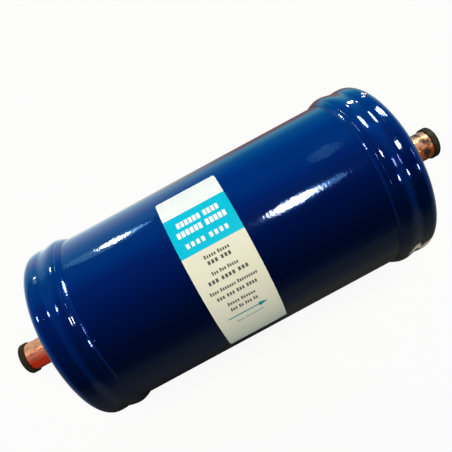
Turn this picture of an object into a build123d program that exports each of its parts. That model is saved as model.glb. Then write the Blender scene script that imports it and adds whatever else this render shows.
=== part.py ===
"""Liquid-line filter drier: a welded steel can round a solid desiccant core, with copper solder sockets.

Frame: origin at the middle of the drier on its axis, +X along the flow from inlet to outlet, +Z up
through the middle of the rating label. Millimetres. The two ends are alike, so each end piece is made
by a function that is given its side, and sizes along the axis are distances from the middle.
"""

import os
from math import sqrt

from build123d import *

INLET = -1
OUTLET = 1

# Shell: 3.5 inch steel tube, square cut, that butts the shoulders inside the end caps.
SHELL_OUTER_RADIUS = 44.45
SHELL_WALL = 1.6
SHELL_HALF_LENGTH = 81.0

# End caps: drawn sheet, with a swelled skirt that slips over the shell. The stretches along the axis
# are given in order, from the mouth of the skirt outwards.
CAP_SHEET = 2.0
CAP_FIT_CLEARANCE = 0.15
SKIRT_OVERLAP = 8.4
SKIRT_MOUTH_WALL = 1.4
SKIRT_MOUTH_SLOPE = 0.62
SKIRT_RISE_LENGTH = 3.2
GROOVE_PAST_SHELL = 1.2
GROOVE_DEPTH = 0.95
GROOVE_TO_BODY = 1.8
CAP_BODY_DROP = 0.7
CAP_BODY_LENGTH = 1.7
INNER_KNUCKLE_RADIUS = 2.5
CROWN_RADIUS = 100.0

# Solder fittings: copper, socket for 12.7 mm tube, with a spigot through the end cap.
SOCKET_RADIUS = 6.4
SOCKET_WALL = 1.0
SOCKET_DEPTH = 12.0
SOCKET_SHOULDER = 0.9
FITTING_LENGTH = 19.38
SPIGOT_STEP = 0.6
SPIGOT_CLEARANCE = 0.05
SPIGOT_STAND_IN = 1.4
FITTING_EDGE_BREAK = 0.2
SEAT_MARGIN = 1.8

# Weld beads and braze rings.
WELD_LEG = 2.8
WELD_SWELL = 0.25
BRAZE_LEG = 1.4
BRAZE_HOLLOW = 0.15

# Dust caps: moulded, pushed over the end of each socket.
DUST_CAP_CLEARANCE = 0.05
DUST_CAP_WALL = 0.75
DUST_CAP_OVERLAP = 2.2
DUST_CAP_END_GAP = 0.1
DUST_CAP_END_WALL = 0.9
DUST_CAP_EDGE_RADIUS = 0.55
DUST_CAP_LIP_RADIUS = 0.3

# Rating label: film on the upper side of the shell.
LABEL_THICKNESS = 0.16
LABEL_WIDTH = 30.2
LABEL_MIDDLE_AT = -5.6
LABEL_WRAP_DEG = 111.8
LABEL_CORNER_RADIUS = 2.2

# Inner stack, set out from the support plate at the outlet towards the inlet.
STACK_CLEARANCE = 0.45
FLOW_GAP = 2.85
SUPPORT_PLATE_SHEET = 1.5
SUPPORT_PLATE_DEPTH = 4.06
SUPPORT_RIM_SEAT_GAP = 0.03
SCREEN_THICKNESS = 0.5
FILTER_PAD_THICKNESS = 6.0
GASKET_THICKNESS = 2.0
CORE_BORE_RADIUS = 10.0
GASKET_HOLE_MARGIN = 2.0
CORE_SHORTER_THAN_SHELL = 29.0
CORE_END_WALL = 12.0
CORE_EDGE_CHAMFER = 1.5
INLET_PAD_THICKNESS = 3.0
INLET_PAD_INSET = 1.0
SPRING_PLATE_SHEET = 1.5
SPRING_SEAT_HEIGHT = 1.2

# Perforation: hexagonal in the support plate, and one ring of ports in the spring plate.
PERFORATION_RADIUS = 2.4
PERFORATION_PITCH = 10.0
PERFORATED_FIELD_INSET = 6.4
PERFORATION_ROWS = 9
SPRING_PORT_RADIUS = 3.2
SPRING_PORT_INSET = 8.9
SPRING_PORT_COUNT = 14

# Core spring: cylindrical compression spring between the spring plate and the inlet end cap.
SPRING_WIRE_RADIUS = 1.3
SPRING_MEAN_RADIUS = 22.0
SPRING_TURNS = 3.0
SPRING_SEAT_CLEARANCE = 1.7

# Radii that follow from the driving sizes.
SHELL_INNER_RADIUS = SHELL_OUTER_RADIUS - SHELL_WALL
SKIRT_INNER_RADIUS = SHELL_OUTER_RADIUS + CAP_FIT_CLEARANCE
SKIRT_CROWN_RADIUS = SKIRT_INNER_RADIUS + CAP_SHEET
GROOVE_RADIUS = SKIRT_CROWN_RADIUS - GROOVE_DEPTH
CAP_BODY_RADIUS = SKIRT_CROWN_RADIUS - CAP_BODY_DROP
CAP_INNER_RADIUS = CAP_BODY_RADIUS - CAP_SHEET
KNUCKLE_RADIUS = INNER_KNUCKLE_RADIUS + CAP_SHEET
KNUCKLE_CENTRE_RADIUS = CAP_BODY_RADIUS - KNUCKLE_RADIUS
INNER_CROWN_RADIUS = CROWN_RADIUS - CAP_SHEET
FITTING_OUTER_RADIUS = SOCKET_RADIUS + SOCKET_WALL
FITTING_BORE_RADIUS = SOCKET_RADIUS - SOCKET_SHOULDER
SPIGOT_RADIUS = FITTING_OUTER_RADIUS - SPIGOT_STEP
CAP_HOLE_RADIUS = SPIGOT_RADIUS + SPIGOT_CLEARANCE
SEAT_RADIUS = FITTING_OUTER_RADIUS + SEAT_MARGIN
DUST_CAP_INNER_RADIUS = FITTING_OUTER_RADIUS + DUST_CAP_CLEARANCE
STACK_RADIUS = SHELL_INNER_RADIUS - STACK_CLEARANCE
CORE_RADIUS = SHELL_INNER_RADIUS - FLOW_GAP
INLET_PAD_RADIUS = CORE_RADIUS - INLET_PAD_INSET
GASKET_HOLE_RADIUS = CORE_BORE_RADIUS + GASKET_HOLE_MARGIN
PERFORATED_FIELD_RADIUS = STACK_RADIUS - PERFORATED_FIELD_INSET
SPRING_PORT_CIRCLE_RADIUS = STACK_RADIUS - SPRING_PORT_INSET
SPRING_SEAT_RADIUS = SPRING_MEAN_RADIUS - SPRING_WIRE_RADIUS - SPRING_SEAT_CLEARANCE

# Places along the axis that follow from them.
SKIRT_MOUTH_AT = SHELL_HALF_LENGTH - SKIRT_OVERLAP
SKIRT_CROWN_AT = SKIRT_MOUTH_AT + SKIRT_RISE_LENGTH
GROOVE_AT = SHELL_HALF_LENGTH + GROOVE_PAST_SHELL
CAP_BODY_START_AT = GROOVE_AT + GROOVE_TO_BODY
KNUCKLE_START_AT = CAP_BODY_START_AT + CAP_BODY_LENGTH
CROWN_REACH = CROWN_RADIUS - KNUCKLE_RADIUS
CROWN_CENTRE_AT = KNUCKLE_START_AT - sqrt(CROWN_REACH**2 - KNUCKLE_CENTRE_RADIUS**2)


def crown_at(radius, sphere_radius):
    """Place along the axis where a crown sphere of the end cap stands at a radius."""
    return CROWN_CENTRE_AT + sqrt(sphere_radius**2 - radius**2)


SEAT_AT = crown_at(SEAT_RADIUS, CROWN_RADIUS)
SPIGOT_END_AT = crown_at(CAP_HOLE_RADIUS, INNER_CROWN_RADIUS) - SPIGOT_STAND_IN
FITTING_END_AT = SEAT_AT + FITTING_LENGTH
SOCKET_FLOOR_AT = FITTING_END_AT - SOCKET_DEPTH
WELD_TOE_AT = SKIRT_MOUTH_AT - WELD_LEG
DUST_CAP_MOUTH_AT = FITTING_END_AT - DUST_CAP_OVERLAP
DUST_CAP_FLOOR_AT = FITTING_END_AT + DUST_CAP_END_GAP
RIM_REACH = sqrt(INNER_KNUCKLE_RADIUS**2 - (STACK_RADIUS - KNUCKLE_CENTRE_RADIUS) ** 2)
SUPPORT_RIM_END_AT = KNUCKLE_START_AT + RIM_REACH - SUPPORT_RIM_SEAT_GAP
SUPPORT_PLATE_FACE_AT = SUPPORT_RIM_END_AT - SUPPORT_PLATE_DEPTH
SCREEN_FACE_AT = SUPPORT_PLATE_FACE_AT - SCREEN_THICKNESS
FILTER_PAD_FACE_AT = SCREEN_FACE_AT - FILTER_PAD_THICKNESS
GASKET_FACE_AT = FILTER_PAD_FACE_AT - GASKET_THICKNESS
CORE_LENGTH = 2 * SHELL_HALF_LENGTH - CORE_SHORTER_THAN_SHELL
CORE_INLET_FACE_AT = GASKET_FACE_AT - CORE_LENGTH
INLET_PAD_FACE_AT = CORE_INLET_FACE_AT - INLET_PAD_THICKNESS
SPRING_PLATE_FACE_AT = INLET_PAD_FACE_AT - SPRING_PLATE_SHEET


def end_plane(side):
    """Plane through the axis whose x runs outwards to the given end and whose y is the radius."""
    return Plane(origin=(0, 0, 0), x_dir=(side, 0, 0), z_dir=(0, -side, 0))


def cross_plane(at):
    """Plane square to the axis at a place along it, facing +X."""
    return Plane(origin=(at, 0, 0), x_dir=(0, 1, 0), z_dir=(1, 0, 0))


def crown_point(radius, sphere_radius):
    """Point of a crown sphere in the profile plane, as (along the axis, radius)."""
    return (crown_at(radius, sphere_radius), radius)


def knuckle_joint(sphere_radius):
    """Point of the profile where the crown sphere runs into the knuckle."""
    scale = sphere_radius / CROWN_REACH
    along = CROWN_CENTRE_AT + (KNUCKLE_START_AT - CROWN_CENTRE_AT) * scale
    return (along, KNUCKLE_CENTRE_RADIUS * scale)


def make_shell_tube():
    """Plain tube with square ends."""
    with BuildPart() as shell_tube:
        with BuildSketch(cross_plane(-SHELL_HALF_LENGTH)):
            Circle(SHELL_OUTER_RADIUS)
            Circle(SHELL_INNER_RADIUS, mode=Mode.SUBTRACT)
        extrude(amount=2 * SHELL_HALF_LENGTH)
    return shell_tube


def make_end_cap(side):
    """Drawn cap: swelled skirt, shallow groove, short body, knuckle and dished crown with a hole."""
    mouth_radius = SKIRT_INNER_RADIUS + SKIRT_MOUTH_WALL
    rise = (1, SKIRT_MOUTH_SLOPE)
    mouth_inner = (SKIRT_MOUTH_AT, SKIRT_INNER_RADIUS)
    mouth_outer = (SKIRT_MOUTH_AT, mouth_radius)
    skirt_crown = (SKIRT_CROWN_AT, SKIRT_CROWN_RADIUS)
    groove = (GROOVE_AT, GROOVE_RADIUS)
    body_start = (CAP_BODY_START_AT, CAP_BODY_RADIUS)
    body_end = (KNUCKLE_START_AT, CAP_BODY_RADIUS)
    outer_joint = knuckle_joint(CROWN_RADIUS)
    inner_joint = knuckle_joint(INNER_CROWN_RADIUS)
    inner_body_end = (KNUCKLE_START_AT, CAP_INNER_RADIUS)
    shoulder_low = (SHELL_HALF_LENGTH, CAP_INNER_RADIUS)
    shoulder_high = (SHELL_HALF_LENGTH, SKIRT_INNER_RADIUS)
    with BuildPart() as end_cap:
        with BuildSketch(end_plane(side)):
            with BuildLine():
                Line(mouth_inner, mouth_outer)
                Spline(mouth_outer, skirt_crown, groove, body_start, tangents=(rise, (1, 0)))
                Line(body_start, body_end)
                TangentArc(body_end, outer_joint, tangent=(1, 0))
                ThreePointArc(
                    outer_joint,
                    crown_point((outer_joint[1] + SEAT_RADIUS) / 2, CROWN_RADIUS),
                    (SEAT_AT, SEAT_RADIUS),
                )
                Polyline(
                    (SEAT_AT, SEAT_RADIUS),
                    (SEAT_AT, CAP_HOLE_RADIUS),
                    crown_point(CAP_HOLE_RADIUS, INNER_CROWN_RADIUS),
                )
                ThreePointArc(
                    crown_point(CAP_HOLE_RADIUS, INNER_CROWN_RADIUS),
                    crown_point(inner_joint[1] / 2, INNER_CROWN_RADIUS),
                    inner_joint,
                )
                TangentArc(inner_body_end, inner_joint, tangent=(1, 0))
                Polyline(inner_body_end, shoulder_low, shoulder_high, mouth_inner)
            make_face()
        revolve(axis=Axis.X)
    return end_cap


def make_weld_bead(side):
    """Fillet weld between the shell and the mouth of the skirt, swelled a little."""
    toe = (WELD_TOE_AT, SHELL_OUTER_RADIUS)
    root = (SKIRT_MOUTH_AT, SHELL_OUTER_RADIUS)
    crest = (SKIRT_MOUTH_AT, SKIRT_INNER_RADIUS + SKIRT_MOUTH_WALL)
    middle = ((toe[0] + crest[0]) / 2, (toe[1] + crest[1]) / 2 + WELD_SWELL)
    with BuildPart() as weld_bead:
        with BuildSketch(end_plane(side)):
            with BuildLine():
                ThreePointArc(toe, middle, crest)
                Polyline(crest, root, toe)
            make_face()
        revolve(axis=Axis.X)
    return weld_bead


def make_fitting(side):
    """Turned copper fitting: solder socket, through bore, and a spigot held in the end cap."""
    with BuildPart() as fitting:
        with BuildSketch(end_plane(side)):
            with BuildLine():
                Polyline(
                    (SPIGOT_END_AT, FITTING_BORE_RADIUS),
                    (SPIGOT_END_AT, SPIGOT_RADIUS),
                    (SEAT_AT, SPIGOT_RADIUS),
                    (SEAT_AT, FITTING_OUTER_RADIUS),
                    (FITTING_END_AT - FITTING_EDGE_BREAK, FITTING_OUTER_RADIUS),
                    (FITTING_END_AT, FITTING_OUTER_RADIUS - FITTING_EDGE_BREAK),
                    (FITTING_END_AT, SOCKET_RADIUS),
                    (SOCKET_FLOOR_AT, SOCKET_RADIUS),
                    (SOCKET_FLOOR_AT, FITTING_BORE_RADIUS),
                    close=True,
                )
            make_face()
        revolve(axis=Axis.X)
    return fitting


def make_braze_ring(side):
    """Hollow-faced fillet of brazing alloy in the corner between the fitting and the cap's seat."""
    corner = (SEAT_AT, FITTING_OUTER_RADIUS)
    cap_toe = (SEAT_AT, FITTING_OUTER_RADIUS + BRAZE_LEG)
    fitting_toe = (SEAT_AT + BRAZE_LEG, FITTING_OUTER_RADIUS)
    face_height = BRAZE_LEG / 2 - BRAZE_HOLLOW
    face_middle = (SEAT_AT + face_height, FITTING_OUTER_RADIUS + face_height)
    with BuildPart() as braze_ring:
        with BuildSketch(end_plane(side)):
            with BuildLine():
                Polyline(fitting_toe, corner, cap_toe)
                ThreePointArc(cap_toe, face_middle, fitting_toe)
            make_face()
        revolve(axis=Axis.X)
    return braze_ring


def make_dust_cap(side):
    """Moulded cup with a rounded rim, an easy push fit over the end of the fitting."""
    outer_radius = DUST_CAP_INNER_RADIUS + DUST_CAP_WALL
    end_at = DUST_CAP_FLOOR_AT + DUST_CAP_END_WALL
    with BuildPart() as dust_cap:
        with BuildSketch(cross_plane(side * DUST_CAP_MOUTH_AT)):
            Circle(outer_radius)
        extrude(amount=side * (end_at - DUST_CAP_MOUTH_AT))
        outer_edges = dust_cap.edges().filter_by(GeomType.CIRCLE).sort_by(Axis.X)
        end_edge = outer_edges[-1 if side == OUTLET else 0]
        lip_edge = outer_edges[0 if side == OUTLET else -1]
        fillet(end_edge, radius=DUST_CAP_EDGE_RADIUS)
        fillet(lip_edge, radius=DUST_CAP_LIP_RADIUS)
        with BuildSketch(cross_plane(side * DUST_CAP_MOUTH_AT)):
            Circle(DUST_CAP_INNER_RADIUS)
        extrude(amount=side * (DUST_CAP_FLOOR_AT - DUST_CAP_MOUTH_AT), mode=Mode.SUBTRACT)
    return dust_cap


def make_label():
    """Film wrapped over the top of the shell, with rounded corners."""
    section_plane = Plane(origin=(LABEL_MIDDLE_AT, 0, 0), x_dir=(1, 0, 0), z_dir=(0, -1, 0))
    start_plane = section_plane.rotated((-LABEL_WRAP_DEG / 2, 0, 0))
    with BuildPart() as label:
        with BuildSketch(start_plane):
            with Locations((0, SHELL_OUTER_RADIUS + LABEL_THICKNESS / 2)):
                Rectangle(LABEL_WIDTH, LABEL_THICKNESS)
        revolve(axis=Axis.X, revolution_arc=LABEL_WRAP_DEG)
        corner_edges = [edge for edge in label.edges() if edge.length < 2 * LABEL_THICKNESS]
        fillet(corner_edges, radius=LABEL_CORNER_RADIUS)
    return label


def make_disc(face_at, thickness, radius):
    """Plain round disc whose lower face is at a place along the axis."""
    with BuildPart() as disc:
        with BuildSketch(cross_plane(face_at)):
            Circle(radius)
        extrude(amount=thickness)
    return disc


def make_core_gasket():
    """Flat ring that seals the outlet face of the core, so that nothing passes round it."""
    with BuildPart() as core_gasket:
        with BuildSketch(cross_plane(GASKET_FACE_AT)):
            Circle(STACK_RADIUS)
            Circle(GASKET_HOLE_RADIUS, mode=Mode.SUBTRACT)
        extrude(amount=GASKET_THICKNESS)
    return core_gasket


def make_desiccant_core():
    """Moulded porous block with a blind bore that opens to the outlet."""
    with BuildPart() as desiccant_core:
        with BuildSketch(cross_plane(CORE_INLET_FACE_AT)):
            Circle(CORE_RADIUS)
        extrude(amount=CORE_LENGTH)
        chamfer(desiccant_core.edges().filter_by(GeomType.CIRCLE), length=CORE_EDGE_CHAMFER)
        with BuildSketch(cross_plane(CORE_INLET_FACE_AT + CORE_END_WALL)):
            Circle(CORE_BORE_RADIUS)
        extrude(amount=CORE_LENGTH - CORE_END_WALL, mode=Mode.SUBTRACT)
    return desiccant_core


def make_support_plate():
    """Perforated dish: its rim stands on the inside of the outlet cap's knuckle."""
    hexagon = HexLocations(
        PERFORATION_PITCH / 2, PERFORATION_ROWS, PERFORATION_ROWS, align=(Align.CENTER, Align.CENTER)
    )
    middles = [place.position for place in hexagon.local_locations]
    holes = [middle for middle in middles if middle.length < PERFORATED_FIELD_RADIUS]
    with BuildPart() as support_plate:
        with BuildSketch(cross_plane(SUPPORT_PLATE_FACE_AT)):
            Circle(STACK_RADIUS)
        extrude(amount=SUPPORT_PLATE_DEPTH)
        with BuildSketch(cross_plane(SUPPORT_PLATE_FACE_AT + SUPPORT_PLATE_SHEET)):
            Circle(STACK_RADIUS - SUPPORT_PLATE_SHEET)
        extrude(amount=SUPPORT_PLATE_DEPTH, mode=Mode.SUBTRACT)
        with BuildSketch(cross_plane(SUPPORT_PLATE_FACE_AT)):
            with Locations(*holes):
                Circle(PERFORATION_RADIUS)
        extrude(amount=SUPPORT_PLATE_SHEET, mode=Mode.SUBTRACT)
    return support_plate


def make_spring_plate():
    """Disc with a ring of ports and a low round boss that centres the spring."""
    with BuildPart() as spring_plate:
        with BuildSketch(cross_plane(SPRING_PLATE_FACE_AT)):
            Circle(STACK_RADIUS)
            with PolarLocations(SPRING_PORT_CIRCLE_RADIUS, SPRING_PORT_COUNT):
                Circle(SPRING_PORT_RADIUS, mode=Mode.SUBTRACT)
        extrude(amount=SPRING_PLATE_SHEET)
        with BuildSketch(cross_plane(SPRING_PLATE_FACE_AT)):
            Circle(SPRING_SEAT_RADIUS)
        extrude(amount=-SPRING_SEAT_HEIGHT)
    return spring_plate


def make_core_spring():
    """Open-ended spring: the first turn lies on the plate, the last against the crown."""
    plate_end = SPRING_PLATE_FACE_AT - SPRING_WIRE_RADIUS
    crown_end = -crown_at(SPRING_MEAN_RADIUS, INNER_CROWN_RADIUS - SPRING_WIRE_RADIUS)
    height = plate_end - crown_end
    with BuildPart() as core_spring:
        with BuildLine():
            coil = Helix(
                pitch=height / SPRING_TURNS,
                height=height,
                radius=SPRING_MEAN_RADIUS,
                center=(crown_end, 0, 0),
                direction=(1, 0, 0),
            )
        with BuildSketch(Plane(origin=coil @ 0, z_dir=coil % 0)):
            Circle(SPRING_WIRE_RADIUS)
        sweep(path=coil, is_frenet=True)
    return core_spring


def write_piece(piece, name):
    """Label one finished piece and write its STEP file."""
    piece.part.label = name
    export_step(piece.part, f"parts/{name}.step")


def main():
    """Make every piece and write it."""
    os.makedirs("parts", exist_ok=True)
    write_piece(make_shell_tube(), "shell_tube")
    for side, end in ((INLET, "inlet"), (OUTLET, "outlet")):
        write_piece(make_end_cap(side), f"{end}_end_cap")
        write_piece(make_weld_bead(side), f"{end}_weld_bead")
        write_piece(make_fitting(side), f"{end}_fitting")
        write_piece(make_braze_ring(side), f"{end}_braze_ring")
        write_piece(make_dust_cap(side), f"{end}_dust_cap")
    write_piece(make_label(), "label")
    write_piece(make_core_spring(), "core_spring")
    write_piece(make_spring_plate(), "spring_plate")
    write_piece(make_disc(INLET_PAD_FACE_AT, INLET_PAD_THICKNESS, INLET_PAD_RADIUS), "inlet_felt_pad")
    write_piece(make_desiccant_core(), "desiccant_core")
    write_piece(make_core_gasket(), "core_gasket")
    write_piece(make_disc(FILTER_PAD_FACE_AT, FILTER_PAD_THICKNESS, STACK_RADIUS), "filter_pad")
    write_piece(make_disc(SCREEN_FACE_AT, SCREEN_THICKNESS, STACK_RADIUS), "mesh_screen")
    write_piece(make_support_plate(), "support_plate")


main()
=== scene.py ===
"""Filter drier: finishes, weld seams, label print, stage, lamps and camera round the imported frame.

The frame's +X is the flow direction, from inlet to outlet, and +Z goes out through the middle of the
rating label. Everything is in metres, in that frame.
"""

import logging
import math
from dataclasses import dataclass, field
from enum import Enum

import bmesh
import bpy
from mathutils import Matrix, Vector, noise

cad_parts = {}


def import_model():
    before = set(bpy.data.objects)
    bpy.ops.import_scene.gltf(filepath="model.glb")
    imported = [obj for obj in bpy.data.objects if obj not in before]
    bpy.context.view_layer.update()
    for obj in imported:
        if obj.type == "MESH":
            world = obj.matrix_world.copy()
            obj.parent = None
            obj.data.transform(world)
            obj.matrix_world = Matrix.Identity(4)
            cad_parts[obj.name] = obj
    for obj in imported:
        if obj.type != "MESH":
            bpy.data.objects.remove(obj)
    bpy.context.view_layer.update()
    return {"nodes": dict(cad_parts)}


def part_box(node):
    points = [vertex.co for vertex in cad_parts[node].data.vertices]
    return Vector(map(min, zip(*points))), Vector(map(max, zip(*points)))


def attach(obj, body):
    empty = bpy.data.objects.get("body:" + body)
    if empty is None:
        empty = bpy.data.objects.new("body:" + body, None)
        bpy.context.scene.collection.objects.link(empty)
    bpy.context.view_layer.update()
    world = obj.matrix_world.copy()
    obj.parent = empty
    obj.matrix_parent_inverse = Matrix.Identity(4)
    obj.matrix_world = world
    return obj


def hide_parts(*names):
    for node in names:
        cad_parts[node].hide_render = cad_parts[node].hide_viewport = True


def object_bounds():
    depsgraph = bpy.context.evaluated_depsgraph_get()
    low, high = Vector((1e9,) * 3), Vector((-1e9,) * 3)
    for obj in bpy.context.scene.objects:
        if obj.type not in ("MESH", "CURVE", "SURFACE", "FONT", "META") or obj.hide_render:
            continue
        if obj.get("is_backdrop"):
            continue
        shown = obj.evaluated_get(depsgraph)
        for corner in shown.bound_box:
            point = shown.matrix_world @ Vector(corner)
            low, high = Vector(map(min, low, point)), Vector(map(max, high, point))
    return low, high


LOG = logging.getLogger("filter_drier")
MM = 0.001
NOISE_RANGE = (0.3, 0.7)  # nearly all of a noise's values
WHITE = (1.0, 1.0, 1.0)
EVENLY = (1.0, 1.0, 1.0)

Triple = tuple[float, float, float]
Colour = Triple
Outline = list[tuple[float, float]]
Range = tuple[float, float]
Stop = tuple[float, Colour]
Faces = list[tuple[int, ...]]
Port = bpy.types.NodeSocket


class End(Enum):
    """The two ends of the drier, with the sign of their place along the axis."""

    INLET = -1
    OUTLET = 1

    def named(self, part: str) -> str:
        """Name of a part or finish at this end."""
        return f"{self.name.lower()}_{part}"


class Edge(Enum):
    """Which end of the label a printed field reaches."""

    NONE = "none"
    HEAD = "head"
    FOOT = "foot"


class Socket(Enum):
    """Names of the shader's own sockets that the finishes set or feed."""

    COLOUR = "Base Color"
    METAL = "Metallic"
    ROUGHNESS = "Roughness"
    NORMAL = "Normal"
    COAT = "Coat Weight"
    COAT_ROUGHNESS = "Coat Roughness"
    COAT_INDEX = "Coat IOR"
    COAT_NORMAL = "Coat Normal"
    SHEEN = "Sheen Weight"
    EDGE = "Specular Tint"
    GLOSS = "Specular IOR Level"


@dataclass
class NodeBench:
    """A node tree, with short methods that wire nodes into it."""

    tree: bpy.types.NodeTree

    def add(self, kind: str, **settings: object) -> bpy.types.ShaderNode:
        """Add one node.

        Args:
            kind: the node's Blender type name.
            settings: attributes to set on it.

        Returns:
            The new node.
        """
        node = self.tree.nodes.new(kind)
        for key, value in settings.items():
            setattr(node, key, value)
        return node

    def link(self, output: Port, target: Port) -> None:
        """Join an output to an input."""
        self.tree.links.new(output, target)

    def put(self, value: Port | float | Colour, target: Port) -> None:
        """Join an output to an input, or write a plain number or colour on it.

        Args:
            value: the output, number or colour.
            target: the input.
        """
        if isinstance(value, float):
            target.default_value = value
        elif isinstance(value, tuple):
            target.default_value = (*value, 1.0)
        else:
            self.link(value, target)

    def combine(self, how: str, *values: Port | float) -> Port:
        """Work out one math operation.

        Args:
            how: its Blender name, such as MULTIPLY or ABSOLUTE.
            values: the outputs or plain numbers that it works on.

        Returns:
            The result output.
        """
        node = self.add("ShaderNodeMath", operation=how)
        for value, target in zip(values, node.inputs):
            self.put(value, target)
        return node.outputs["Value"]

    def span(self, value: Port, source: Range, target: Range = (0.0, 1.0), easing: str = "LINEAR") -> Port:
        """Carry a value from one range to another, and hold it there.

        Args:
            value: the output to carry over.
            source: the range that it comes from.
            target: the results at the two ends of that range.
            easing: LINEAR or SMOOTHSTEP.

        Returns:
            The result output.
        """
        node = self.add("ShaderNodeMapRange", interpolation_type=easing)
        self.link(value, node.inputs["Value"])
        for key, number in zip(("From Min", "From Max", "To Min", "To Max"), (*source, *target)):
            node.inputs[key].default_value = number
        return node.outputs["Result"]

    def mix(self, factor: Port, first: Port | Colour, second: Port | Colour) -> Port:
        """Mix two colours.

        Args:
            factor: share of the second colour.
            first: the first colour.
            second: the second colour.

        Returns:
            The mixed colour.
        """
        node = self.add("ShaderNodeMix", data_type="RGBA")
        self.link(factor, node.inputs["Factor"])
        self.put(first, node.inputs["A"])
        self.put(second, node.inputs["B"])
        return node.outputs["Result"]

    def weave(self, factor: Port, sides: Range, first: Port, second: Port | Colour) -> Port:
        """Run smoothly from one colour to another.

        Args:
            factor: the value that picks between them.
            sides: the values at which the first colour ends and the second starts.
            first: the first colour.
            second: the second colour.

        Returns:
            The mixed colour.
        """
        return self.mix(self.span(factor, sides, easing="SMOOTHSTEP"), first, second)

    def grade(self, value: Port, high: float, stops: tuple[Stop, ...]) -> Port:
        """Turn a value into a colour that runs smoothly through listed stops.

        Args:
            value: the value that picks the colour.
            high: the value at the end of the run, past the last stop.
            stops: values in rising order, each with its colour, from the start of the run.

        Returns:
            The colour.
        """
        low = stops[0][0]
        ramp = self.add("ShaderNodeValToRGB")
        ramp.color_ramp.interpolation = "CARDINAL"
        marks = ramp.color_ramp.elements
        for number, (at, tint) in enumerate(stops):
            place = (at - low) / (high - low)
            mark = marks[0] if number == 0 else marks.new(place)
            mark.position = place
            mark.color = (*tint, 1.0)
        marks.remove(marks[-1])
        self.link(self.span(value, (low, high)), ramp.inputs["Fac"])
        return ramp.outputs["Color"]

    def show(self, factor: Port, shaders: tuple[Port, Port], surface: str) -> None:
        """Send a mix of two shaders to the tree's output.

        Args:
            factor: share of the second shader.
            shaders: the two shaders.
            surface: name of the output node.
        """
        node = self.add("ShaderNodeMixShader")
        self.link(factor, node.inputs["Fac"])
        for number, shader in enumerate(shaders, start=1):
            self.link(shader, node.inputs[number])
        self.link(node.outputs["Shader"], self.tree.nodes[surface].inputs["Surface"])


class ShaderBench(NodeBench):
    """A new material with one surface shader, and the patterns that feed it."""

    def __init__(self, name: str) -> None:
        """Start the material.

        Args:
            name: the material's name.
        """
        self.material = bpy.data.materials.new(name)
        self.material.use_nodes = True
        super().__init__(self.material.node_tree)
        self.shader = self.tree.nodes["Principled BSDF"]

    def feed(self, value: Port | float | Colour, socket: Socket) -> None:
        """Join an output to one of the shader's own sockets, or write a plain number or colour on it."""
        self.put(value, self.shader.inputs[socket.value])

    def place(self, stretch: Triple = EVENLY) -> Port:
        """Place on the object, in metres.

        Args:
            stretch: how much each direction is scaled; a small number draws a pattern out along it.

        Returns:
            The vector output.
        """
        coordinates = self.add("ShaderNodeTexCoord")
        mapping = self.add("ShaderNodeMapping")
        mapping.inputs["Scale"].default_value = stretch
        self.link(coordinates.outputs["Object"], mapping.inputs["Vector"])
        return mapping.outputs["Vector"]

    def noise(self, size: float, detail: float = 3.0, stretch: Triple = EVENLY) -> Port:
        """Soft noise over the object.

        Args:
            size: size of its blotches in metres.
            detail: how many finer octaves it has.
            stretch: scale of each direction.

        Returns:
            The value output, about 0.5 on average.
        """
        texture = self.add("ShaderNodeTexNoise")
        texture.inputs["Scale"].default_value = 1.0 / size
        texture.inputs["Detail"].default_value = detail
        self.link(self.place(stretch), texture.inputs["Vector"])
        return texture.outputs["Fac"]

    def cells(self, size: float) -> Port:
        """Pattern of scattered cells.

        Args:
            size: size of the cells in metres.

        Returns:
            The distance from each cell's middle, as a share of its size.
        """
        texture = self.add("ShaderNodeTexVoronoi")
        texture.inputs["Scale"].default_value = 1.0 / size
        self.link(self.place(), texture.inputs["Vector"])
        return texture.outputs["Distance"]

    def split(self) -> bpy.types.NodeOutputs:
        """Place on the object, split by direction.

        Returns:
            The X, Y and Z outputs, in metres.
        """
        node = self.add("ShaderNodeSeparateXYZ")
        self.link(self.place(), node.inputs["Vector"])
        return node.outputs

    def relief(self, height: Port, depth: float, under: Port | None = None) -> Port:
        """Bump from a height output.

        Args:
            height: the value that gives the height.
            depth: height in metres of one unit of it.
            under: a relief that this one adds to.

        Returns:
            The normal output.
        """
        node = self.add("ShaderNodeBump")
        node.inputs["Distance"].default_value = depth
        self.link(height, node.inputs["Height"])
        if under is not None:
            self.link(under, node.inputs["Normal"])
        return node.outputs["Normal"]


class Finish:
    """A surface finish, which each subclass wires in its own way."""

    def make(self, name: str) -> bpy.types.Material:
        """Make a material of the finish.

        Args:
            name: the material's name.

        Returns:
            The material.
        """
        bench = ShaderBench(name)
        self.dress(bench)
        return bench.material

    def dress(self, bench: ShaderBench) -> None:
        """Wire the finish into a new material."""
        raise NotImplementedError


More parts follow.
